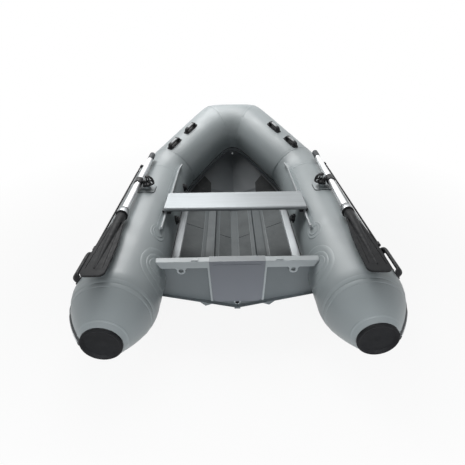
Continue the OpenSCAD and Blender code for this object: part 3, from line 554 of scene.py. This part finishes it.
# Rubbing strake: a D-shaped extrusion on a flat flange, with a pale band along its crown
FLANK = [(0.17, 0.0115), (0.27, 0.0088), (0.33, 0.0042), (0.40, 0.0030), (0.5, 0.0022), (0.5, -0.0006)]
PROFILE = [(-u, h) for u, h in FLANK[::-1]] + [(0.0, 0.0120)] + FLANK
CROWN = range(4, 9)
STRAKE_DARK = mat_rubber("strake_rubber", srgb(70, 72, 74), (0.4, 0.55), 240)
STRAKE_PALE = mat_rubber("strake_band", srgb(196, 199, 201), (0.36, 0.48), 240)
for side, tag in SIDES:
    sh = Shape().add([[spot(s, carry(s, 90) + math.degrees(u * STRAKE_W / radius(s)), h, side)
                       for u, h in PROFILE] for s in stations])
    sh.f.append(tuple(range(len(PROFILE))))
    sh.m = [int(all(v % len(PROFILE) in CROWN for v in f)) for f in sh.f]
    sh.done("strake_" + tag + "_dressed", STRAKE_DARK, STRAKE_PALE, slot="strake", nodes=["strake_" + tag])


# Bow plating: both plates as smooth sheets from the keel line to the chine under the tube
def chine(s):
    return spot(s, CHINE_PHI, CHINE_OFF)


def bow_s(k):
    """Distance along the tube of a share k of the way from the shoulder's start to the middle of the bow."""
    return S_SIDE + (S_MID - S_SIDE) * k


CHINE_0, CHINE_1 = chine(S_SIDE), chine(S_MID)
FOOT_GAP = CHINE_0.z - CHINE_0.x * math.tan(math.radians(DEADRISE)) - KEEL_T


def plating(s, k, layer, side=1):
    """Point of a bow plate: k from the keel to the chine, layer 0 outside and 1 inside."""
    h = chine(s)
    climb = min(1.0, max(0.0, (h.z - CHINE_0.z) / (CHINE_1.z - CHINE_0.z)))
    rise = math.radians(DEADRISE + (STEM_RISE - DEADRISE) * climb)
    keel = Vector((0, h.y, h.z - h.x * math.tan(rise) - FOOT_GAP * (1 - climb)))
    inward = Vector((0, -0.6 * climb, 1)).normalized()
    p = keel.lerp(h, k) + inward * (PLATE / math.cos(rise) * layer)
    return Vector((p.x * side, p.y, p.z))


# Points of a section across the plate and round its flange, sections along it, and the flange's faces
N_ACROSS, N_TURN, N_ALONG = 13, 6, 72
PLATE_ROW = 2 * (N_ACROSS + N_TURN)
FLANGE_FACES = range(N_ACROSS + N_TURN - 1, N_ACROSS + 2 * N_TURN)
FLANGE_LOW, FLANGE_TOP = 0.0008, 0.0046


def plate_row(s, side):
    """Section of a plate, whose edge turns up into a flange that lies on the tube."""
    ks = steps(0, 1, N_ACROSS - 1)
    turn = steps(CHINE_PHI, FLANGE_PHI, N_TURN)[1:]
    return ([plating(s, k, 0, side) for k in ks] + [spot(s, phi, FLANGE_LOW, side) for phi in turn]
            + [spot(s, phi, FLANGE_TOP, side) for phi in turn[::-1]]
            + [plating(s, k, 1, side) for k in ks[::-1]])


def on_flange(i):
    """Whether face i belongs to a flange; each plate has its grid of faces and then two caps."""
    grid = N_ALONG * PLATE_ROW
    k = i % (grid + 2)
    return k < grid and k % PLATE_ROW in FLANGE_FACES


plates, shade_beads = Shape(), Shape()
# The flanges are paler than the plates: painted light that offsets the shade they lie in under the tube
FLANGE_PAINTED_LIGHT = mat_surface("flange_painted_light", srgb(140, 146, 149), (0.42, 0.54), (0.94, 1.05))
FLOOR_Y = Y_TR + 0.063
# The black bead along the flanges' top edge is painted shade: a dark line where the tube meets the plating
BEAD_PHI, BEAD_OFF, BEAD_R = FLANGE_PHI + 0.8, 0.0015, 0.0032
for side, _ in SIDES:
    plates.add([plate_row(s, side) for s in steps(S_SIDE, S_MID, N_ALONG)], closed_v=True, caps=True)
    line = [spot(s, BEAD_PHI, BEAD_OFF, side) for s in steps(s_at(FLOOR_Y), S_MID, 150)]
    shade_beads.add(tube_rows(line, BEAD_R, 8), closed_v=True, caps=True)
# The flange faces take the paler material, which is painted light
plates.m = [int(on_flange(i)) for i in range(len(plates.m))]
plates.done("bow_plating", BOW_PLATE_SHADE, FLANGE_PAINTED_LIGHT, slot="hull", nodes=["bow_plate_port", "bow_plate_starboard"],
            sharp=40)
shade_beads.done("hull_bead_painted_shade", BLACK, slot="black_rubber")


# Handles: a round-cornered bail on two moulded pads
# Base: reach past the handle's ends, half width, height
BASE_PAST, BASE_W, BASE_H = 0.008, 0.027, 0.0030
# End pads: distance of the middle in from the handle's end, half length, half width, height
PAD_IN, PAD_L, PAD_W, PAD_H = 0.017, 0.022, 0.024, 0.0052
# Pale strip of a bow handle, a painted highlight of the sky on the grip's top: distance in from the handle's
# ends, half width, half height
STRIP_IN, STRIP_W, STRIP_H = 0.040, 0.0100, 0.0084
# Screws of a stern handle: angle beside its middle, height of the seat
SCREW_TURN, SCREW_OFF = 5.4, 0.0056
# Distances from the cone to the stern handle, and from there to the lifeline
STERN_GAP, ROPE_GAP = 0.010, 0.040


def bail_line(half, off, grip, corner=0.020, n=8):
    """The bail's middle line: place along, lift, normal along, normal up and half thickness of each point."""
    leg, foot = half - 0.014, 0.0115
    pts = [(-leg, -0.006, -1, 0, 0.014), (-leg, off * 0.35, -1, 0, 0.0125)]
    for i in range(n + 1):
        a = math.pi / 2 * i / n
        pts.append((-leg + corner - corner * math.cos(a), off - corner + corner * math.sin(a), -math.cos(a),
                    math.sin(a), foot - (foot - grip) * i / n))
    pts += [(u * (leg - corner), off, 0, 1, grip) for u in steps(-1, 1, 10)[1:-1]]
    return pts + [(-u, l, -na, nl, th) for u, l, na, nl, th in pts[:n + 3][::-1]]


def squarish(n=16):
    """Points of a circle drawn out towards a square."""
    return [tuple(math.copysign(abs(v) ** 0.6, v) for v in turn) for turn in circle(n)]


def handle(shape, s0, phi0, half, off, side, grip=0.006, width=0.015):
    """A handle: its base, an end pad under each leg, and the bail."""
    patch(shape, s0, phi0, half + BASE_PAST, BASE_W, BASE_H, side, power=5.0, rim=0.0006)
    for end in (-1, 1):
        patch(shape, s0 + end * (half - PAD_IN), phi0, PAD_L, PAD_W, PAD_H, side, power=4.0, rim=0.0004)
    rows = [[spot(s0 + u + na * (th * y), phi0 + math.degrees(width * x / R), l + nl * (th * y), side)
             for x, y in squarish()] for u, l, na, nl, th in bail_line(half, off, grip)]
    shape.add(rows, closed_v=True, caps=True)


def sleeve(shape, s0, phi0, half, off, side):
    """Pale strip along the straight part of a bail: a painted highlight of the sky on the grip's top."""
    rows = []
    for u in steps(-1, 1, 12):
        grow = 1.0 if abs(u) < 0.95 else 0.93
        rows.append([spot(s0 + u * half, phi0 + math.degrees(grow * STRIP_W * x / R),
                          off + grow * STRIP_H * y, side) for x, y in squarish()])
    shape.add(rows, closed_v=True, caps=True, mat=1)


SCREW = [(0.0058, -0.001), (0.0058, 0.0008), (0.0048, 0.0022), (0.0022, 0.0030)]
bow, stern = Shape(), Shape()
QUARTER_0 = S_SHOULDER - T1
STERN_MID = s_at(Y_CAP + CONE_LEN + STERN_HANDLE_HALF + STERN_GAP)
for side, _ in SIDES:
    for k in BOW_HANDLE_AT:
        s0 = QUARTER_0 + k * (C - B).length
        handle(bow, s0, BOW_HANDLE_PHI, BOW_HANDLE_HALF, BOW_HANDLE_OFF, side)
        sleeve(bow, s0, BOW_HANDLE_PHI, BOW_HANDLE_HALF - STRIP_IN, BOW_HANDLE_OFF, side)
    handle(stern, STERN_MID, STERN_HANDLE_PHI, STERN_HANDLE_HALF, STERN_HANDLE_OFF, side,
           grip=0.0095, width=0.018)
    for end in (-1, 1):
        s0 = STERN_MID + end * (STERN_HANDLE_HALF - PAD_IN)
        for phi in (STERN_HANDLE_PHI - SCREW_TURN, STERN_HANDLE_PHI + SCREW_TURN):
            n = spot(s0, phi, 1, side) - spot(s0, phi, 0, side)
            turned(stern, spot(s0, phi, SCREW_OFF, side), n, SCREW, mat=1)
bow.done("bow_handles_dressed", BLACK, GRIP_HIGHLIGHT, slot="black_rubber", nodes=["bow_handles"])
stern.done("stern_handles_dressed", BLACK, STEEL, slot="black_rubber", nodes=["stern_handles"])

# Lifelines: three-strand rope drawn tight along the tube, from the stern handle to a quarter of the shoulder
ROPE_0 = STERN_MID + STERN_HANDLE_HALF + ROPE_GAP
ROPE_1 = S_SIDE + SHOULDER_R * math.radians(ROPE_TURN)
LAY, STRAND, STRAND_OFF = 0.042, 0.0031, 0.0029
for side, tag in SIDES:
    sh = Shape()
    for strand in range(3):
        pts = []
        for s in steps(ROPE_0, ROPE_1, 360):
            w = 2 * math.pi * (strand / 3 + (s - ROPE_0) / LAY)
            phi = carry(s, ROPE_PHI) + math.degrees(STRAND_OFF * math.sin(w) / (R + ROPE_OFF))
            pts.append(spot(s, phi, ROPE_OFF + STRAND_OFF * math.cos(w), side))
        sh.add(tube_rows(pts, STRAND, 7), closed_v=True, caps=True)
    rope = sh.done("lifeline_" + tag + "_rope", ROPE, slot="rope", nodes=["lifeline_" + tag])
    line = [spot(s, carry(s, ROPE_PHI), ROPE_OFF, side) for s in steps(ROPE_0, ROPE_1, 90)]

# Small fasteners and trim
BOLT, BOLT_AT = [(0.008, -0.002), (0.008, 0.003), (0.005, 0.006)], (0.825, 0.85)
bolts = Shape()
for k in BOLT_AT:
    s = bow_s(k)
    p, q = plating(s, 0.0, 1), plating(s - 0.01, 0.0, 1)
    turned(bolts, p + Vector((0, 0, 0.002)), (p - q).cross(U3), BOLT, 6)
bolts.done("stem_bolts", STEEL, slot="fitting")


# Gusset tie behind the stem head: direction off the plates, height, ends along the bow and half width
OFF_STEM, TIE_OFF, TIE_WIDE, TIE_TIP, TIE_HALF = Vector((0, -0.7, 0.7)), 0.004, 0.915, 0.868, 0.17


def stem(along, k):
    """Point above the bow plates near the stem head, k positive to starboard."""
    return plating(bow_s(along), abs(k), 1, 1 if k >= 0 else -1) + OFF_STEM * TIE_OFF


GUSSET = [stem(TIE_WIDE, k / 4 * TIE_HALF) for k in range(-4, 5)]
tie = Shape().add([[q.lerp(stem(TIE_TIP, 0), t) + OFF_STEM * lift for q in GUSSET]
                   for t, lift in ((0, -TIE_OFF), (0, 0), (0.5, 0.001), (0.97, 0), (0.97, -TIE_OFF))])
tie.done("stem_gusset", RAIL, slot="hull")


def lock_frame(side):
    """Places a point given in the swivel's own directions: inboard-outboard, along the oar, height."""
    a = math.radians(STOW[side])

    def place(x, y, z):
        return Vector((side * (LOCK_X + x * math.cos(a) - y * math.sin(a)),
                       Y_TR + LOCK_Y + x * math.sin(a) + y * math.cos(a), z))
    return place


def polar(r, deg):
    """Place (x, y) in the swivel's directions, at radius r round the knob's middle."""
    a = math.radians(deg)
    return KNOB_X + r * math.cos(a), r * math.sin(a)


# Hand knob: middle, hub, rim and thicknesses. Hub of the knob and rings of the oar's collar as
# (radius, height)
KNOB_X, HUB_Z, HUB_SUNK, RIM_R, RIM_Z = -0.010, 0.532, 0.006, 0.040, 0.484
RIM_HALF, SPOKE_HALF = 0.0062, 0.0046
HUB = [(0.014, 0.0), (0.0165, 0.003), (0.0155, 0.009), (0.009, 0.0125)]
DRIP = [(0.0212, 0.0562), (0.0262, 0.0565), (0.0272, 0.060), (0.0272, 0.066), (0.0258, 0.070),
        (0.0212, 0.0705)]
FOOT = [(0.0212, 0.0075), (0.0340, 0.0075), (0.0345, 0.005), (0.0340, 0.0015), (0.0300, 0.0), (0.0212, 0.0)]
for side, tag in SIDES:
    place = lock_frame(side)
    # Spoked hand knob over the swivel's ring
    knob = Shape()
    rim = [place(*polar(RIM_R, deg), RIM_Z) for deg in steps(64, 296, 24)]
    knob.add(tube_rows(rim, RIM_HALF, 10), closed_v=True, caps=True)
    for deg in steps(90, 270, 5):
        spoke = [place(*polar(RIM_R * math.cos(t), deg), RIM_Z + (HUB_Z - RIM_Z) * math.sin(t))
                 for t in steps(0, math.pi / 2, 10)]
        knob.add(tube_rows(spoke, SPOKE_HALF, 8), closed_v=True, caps=True)
    turned(knob, place(KNOB_X, 0, HUB_Z - HUB_SUNK), UP, HUB)
    knob.done("knob_" + tag, PLASTIC, body="swivel_" + tag, slot="fitting")
    # Black rings at both ends of the oar's collar
    ringed = Shape()
    for prof in (DRIP, FOOT):
        ringed.add([[place(OAR_IN + r * c, BLADE_Y + h, OAR_Z + r * sn) for c, sn in circle(24)]
                    for r, h in prof], closed_u=True, closed_v=True)
    ringed.done("drip_ring_" + tag, BLACK, body="oar_" + tag, slot="black_rubber")

# Stage: pale floor that keeps a soft shadow, white surroundings, soft studio lamps
world = bpy.data.worlds.new("studio")
scene.world = world
world.use_nodes = True
wn = world.node_tree
wn.nodes.clear()


def maths(nt, operation, a, b):
    m = node(nt, "ShaderNodeMath", operation=operation)
    nt.links.new(a, m.inputs[0])
    nt.links.new(b, m.inputs[1])
    return m.outputs[0]


def mixed(nt, fac, a, b):
    """Shader that goes from a to b with fac."""
    mx = node(nt, "ShaderNodeMixShader")
    for socket, source in zip(mx.inputs, (fac, a.outputs[0], b.outputs[0])):
        nt.links.new(source, socket)
    return mx.outputs[0]


def unlit_ray(nt):
    """1 for camera, glossy and transmission rays."""
    lp = node(nt, "ShaderNodeLightPath")
    out = lp.outputs["Is Camera Ray"]
    for name in ("Is Glossy Ray", "Is Transmission Ray"):
        out = maths(nt, "MAXIMUM", out, lp.outputs[name])
    return out


AMBIENT = 0.03
soft_bg = node(wn, "ShaderNodeBackground", Color=(0.93, 0.96, 1.0, 1), Strength=AMBIENT)
white_bg = node(wn, "ShaderNodeBackground", Color=(1, 1, 1, 1), Strength=1.0)
sky = mixed(wn, unlit_ray(wn), soft_bg, white_bg)
wn.links.new(sky, node(wn, "ShaderNodeOutputWorld").inputs[0])

fm, nt, p = new_mat("pale_floor")
nt.nodes.remove(p)
dif = node(nt, "ShaderNodeBsdfDiffuse", Color=(0.6, 0.6, 0.6, 1))
emi = node(nt, "ShaderNodeEmission", Color=(1, 1, 1, 1), Strength=1.0)
# The floor glows less near the boat, where it keeps the shadow
ln = node(nt, "ShaderNodeVectorMath", operation="LENGTH")
nt.links.new(node(nt, "ShaderNodeNewGeometry").outputs["Position"], ln.inputs[0])
mr = node(nt, "ShaderNodeMapRange", **{"From Min": 1.2, "From Max": 2.6, "To Min": 0.9, "To Max": 1.0})
nt.links.new(ln.outputs["Value"], mr.inputs["Value"])
glow = maths(nt, "MULTIPLY", unlit_ray(nt), mr.outputs["Result"])
nt.links.new(mixed(nt, glow, dif, emi), nt.nodes["Material Output"].inputs["Surface"])
FAR = 30
mesh_object("floor", [(-FAR, -FAR, 0), (FAR, -FAR, 0), (FAR, FAR, 0), (-FAR, FAR, 0)],
                     [(0, 1, 2, 3)], [fm], False)


def lamp(name, loc, target, size, power, colour=(1, 1, 1), spread=180):
    """Area lamp that points at a target."""
    d = bpy.data.lights.new(name, "AREA")
    d.shape, d.size, d.size_y, d.energy, d.color = "RECTANGLE", size[0], size[1], power, colour
    d.spread = math.radians(spread)
    ob = bpy.data.objects.new(name, d)
    scene.collection.objects.link(ob)
    ob.location = loc
    ob.rotation_euler = (Vector(target) - Vector(loc)).to_track_quat("-Z", "Y").to_euler()


lamp("key", (-1.0, 2.3, 3.4), (0, -0.1, 0.3), (2.6, 2.4), 132)
lamp("over", (0.1, 1.35, 3.3), (0.05, 0.9, 0.5), (1.2, 1.2), 18)
lamp("front", (1.6, 3.0, 3.6), (0, 0.1, 0.3), (1.8, 1.8), 16)
lamp("aft", (0.0, -2.85, 0.9), (0, -2.0, 0.37), (2.6, 0.5), 7, (0.97, 0.98, 1.0), 56)

# Camera at the photograph's place, with its turns in radians
PITCH, ROLL, YAW = 0.5498, -0.0118, 0.0086
EYE = (-0.0367, -2.43716, 1.4628)
FOCUS_PX, FRAME_PX, SENSOR = 358.888, 465, 36.0
forward = Vector((math.sin(YAW) * math.cos(PITCH), math.cos(YAW) * math.cos(PITCH), -math.sin(PITCH)))
level = Vector((math.cos(YAW), -math.sin(YAW), 0))
upright = level.cross(forward)
cam = bpy.data.cameras.new("camera")
cam.sensor_width = SENSOR
cam.sensor_fit = "HORIZONTAL"
cam.lens = SENSOR * FOCUS_PX / FRAME_PX
eye = bpy.data.objects.new("camera", cam)
scene.collection.objects.link(eye)
turn = Matrix((level * math.cos(ROLL) + upright * math.sin(ROLL),
               upright * math.cos(ROLL) - level * math.sin(ROLL), -forward)).transposed()
eye.matrix_world = Matrix.Translation(EYE) @ turn.to_4x4()
scene.camera = eye

scene.view_settings.view_transform = "Standard"
